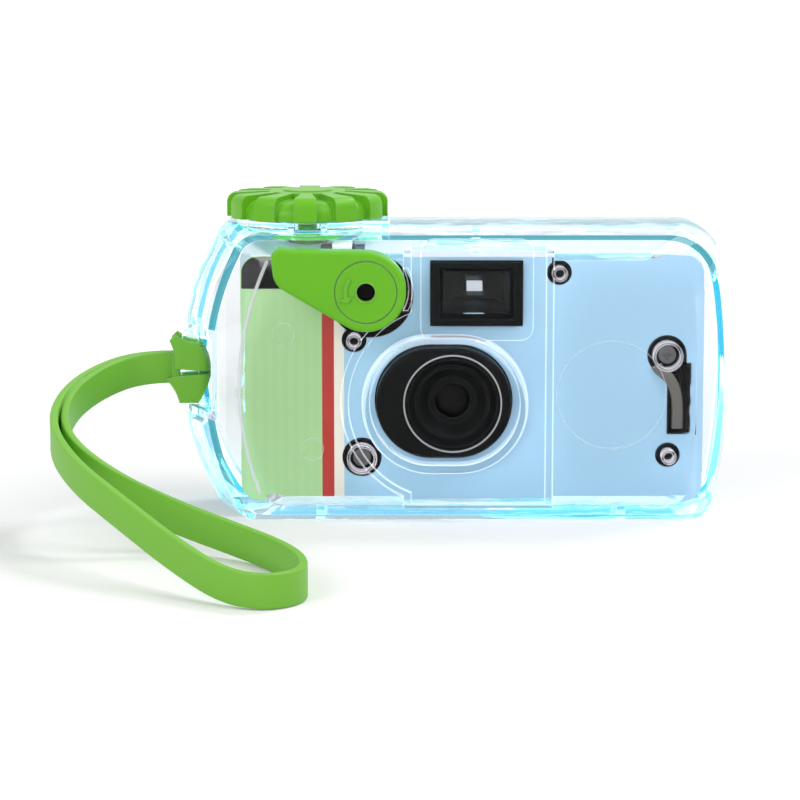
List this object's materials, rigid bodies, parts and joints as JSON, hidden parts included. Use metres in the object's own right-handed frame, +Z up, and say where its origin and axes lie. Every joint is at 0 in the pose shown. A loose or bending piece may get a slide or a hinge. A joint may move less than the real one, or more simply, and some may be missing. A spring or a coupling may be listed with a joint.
{
  "type": "waterproof disposable film camera",
  "caption": "Waterproof single-use film camera: clear two-part case with winding knob, shutter lever and wrist strap round a film unit with lens, finder and film path.",
  "frame": {"origin": "bottom centre of the camera without its strap, on the surface that it stands on", "axes": "+X along the width to the right of a viewer who faces the lens, +Y away from that viewer, +Z up"},
  "size_m": [0.1567, 0.1385, 0.0761],
  "materials": {
    "clear_case": "clear, polished",
    "teal_rubber": "soft",
    "green_plastic": "satin",
    "steel": "bright",
    "white_plastic": "satin",
    "black_plastic": "satin",
    "printed_film": "printed",
    "film_base": "glossy",
    "clear_lens": "polished",
    "green_strap": "satin"
  },
  "bodies": {
    "case_and_unit": {"front_shell": "clear_case", "rear_shell": "clear_case", "case_gasket": "teal_rubber", "knob_seal": "teal_rubber", "lever_seal": "teal_rubber", "lever_spring": "steel", "shutter_spring": "steel", "cover_screws": "steel", "film_cartridge": "steel", "front_cover": "black_plastic", "rear_cover": "black_plastic", "cover_latch": "black_plastic", "main_chassis": "black_plastic", "shutter_plate": "black_plastic", "lens_shield": "black_plastic", "lens_retainer": "black_plastic", "finder_frame": "black_plastic", "printed_label": "printed_film", "film_strip": "film_base", "lens_element": "clear_lens", "finder_front_lens": "clear_lens", "finder_rear_lens": "clear_lens", "wrist_strap": "green_strap", "strap_hitch": "green_strap"},
    "winding_knob": {"advance_knob": "green_plastic", "knob_shaft": "green_plastic", "knob_clip": "steel", "thumbwheel": "white_plastic", "cartridge_spool": "black_plastic"},
    "lever": {"shutter_lever": "green_plastic", "lever_shaft": "white_plastic", "lever_clip": "steel", "lever_arm": "white_plastic"},
    "button": {"release_button": "black_plastic"},
    "trigger": {"trigger_lever": "black_plastic"},
    "shutter": {"shutter_blade": "steel"},
    "sprocket": {"sprocket_wheel": "white_plastic"},
    "supply": {"supply_spool": "black_plastic", "film_roll": "film_base"},
    "counter": {"frame_counter": "white_plastic"}
  },
  "joints": [
    {"name": "knob_turn", "type": "hinge", "parent": "case_and_unit", "child": "winding_knob", "pos_m": [-0.0351, 0.0049, 0.0704], "axis": [0, 0, 1], "continuous": true},
    {"name": "sprocket_turn", "type": "hinge", "parent": "case_and_unit", "child": "sprocket", "pos_m": [-0.0158, 0.00885, 0.0424], "axis": [0, 0, 1], "continuous": true},
    {"name": "supply_turn", "type": "hinge", "parent": "case_and_unit", "child": "supply", "pos_m": [0.043, 0.0049, 0.0284], "axis": [0, 0, 1], "continuous": true},
    {"name": "counter_turn", "type": "hinge", "parent": "case_and_unit", "child": "counter", "pos_m": [-0.0143, 0.0051, 0.0552], "axis": [0, 0, 1], "continuous": true},
    {"name": "lever_press", "type": "hinge", "parent": "case_and_unit", "child": "lever", "pos_m": [-0.021, -0.0191, 0.055], "axis": [0, -1, 0], "range_deg": [0, 11], "stiffness_Nm_per_rad": 0.02, "springref_deg": -17.19},
    {"name": "button_press", "type": "slide", "parent": "case_and_unit", "child": "button", "axis": [0, 0, -1], "range_m": [0, 0.0016]},
    {"name": "trigger_rock", "type": "hinge", "parent": "case_and_unit", "child": "trigger", "pos_m": [-0.0188, -0.0053, 0.058], "axis": [0, -1, 0], "range_deg": [0, 12.9]},
    {"name": "shutter_swing", "type": "hinge", "parent": "case_and_unit", "child": "shutter", "pos_m": [0.0086, -0.0079, 0.0372], "axis": [0, -1, 0], "range_deg": [0, 27], "stiffness_Nm_per_rad": 0.001, "springref_deg": -17.19}
  ],
  "couplings": [
    {"joint": "sprocket_turn", "follows": "knob_turn", "ratio": 1.24},
    {"joint": "supply_turn", "follows": "knob_turn", "ratio": 0.83},
    {"joint": "counter_turn", "follows": "knob_turn", "ratio": 0.05},
    {"joint": "button_press", "follows": "lever_press", "m_per_rad": 0.0078},
    {"joint": "trigger_rock", "follows": "lever_press", "ratio": 1.17}
  ]
}
